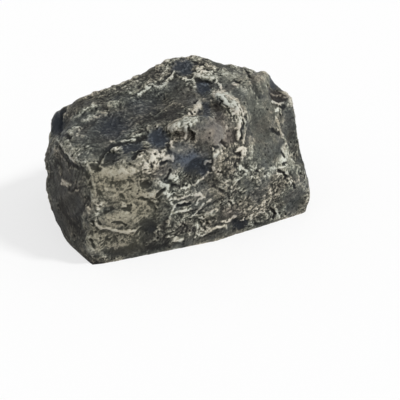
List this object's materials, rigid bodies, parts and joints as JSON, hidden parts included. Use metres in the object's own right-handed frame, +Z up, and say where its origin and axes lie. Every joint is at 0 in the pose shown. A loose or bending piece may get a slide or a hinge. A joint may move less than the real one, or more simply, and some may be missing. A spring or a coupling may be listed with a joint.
{
  "type": "key hiding rock",
  "caption": "Hollow imitation rock with a plastic tray plugged into its flat base, which holds spare house keys out of sight.",
  "frame": {"origin": "middle of the rock's bounding box in plan, on the surface that its flat base stands on", "axes": "+X along the rock's length, towards its steep right end, +Y to its back, +Z up"},
  "size_m": [0.1045, 0.0736, 0.057],
  "materials": {
    "painted_resin": "cast resin painted as rough stone, charcoal with cream dry-brushing and blue-grey washes",
    "white_plastic": "moulded white plastic, satin, slightly translucent",
    "nickel_plate": "nickel-plated brass with light wear",
    "key_brass": "bare brass with light tarnish"
  },
  "bodies": {
    "tray": {"key_tray": "white_plastic"},
    "rock": {"rock_body": "painted_resin"},
    "nickel": {"nickel_key": "nickel_plate"},
    "brass": {"brass_key": "key_brass"}
  },
  "joints": [
    {"name": "rock_lift", "type": "slide", "parent": "tray", "child": "rock", "axis": [0, 0, 1], "range_m": [0, 0.045]},
    {"name": "nickel_key_lift", "type": "slide", "parent": "tray", "child": "nickel", "axis": [0, 0, 1], "range_m": [0, 0.008]},
    {"name": "brass_key_lift", "type": "slide", "parent": "nickel", "child": "brass", "axis": [0, 0, 1], "range_m": [0, 0.01]}
  ]
}
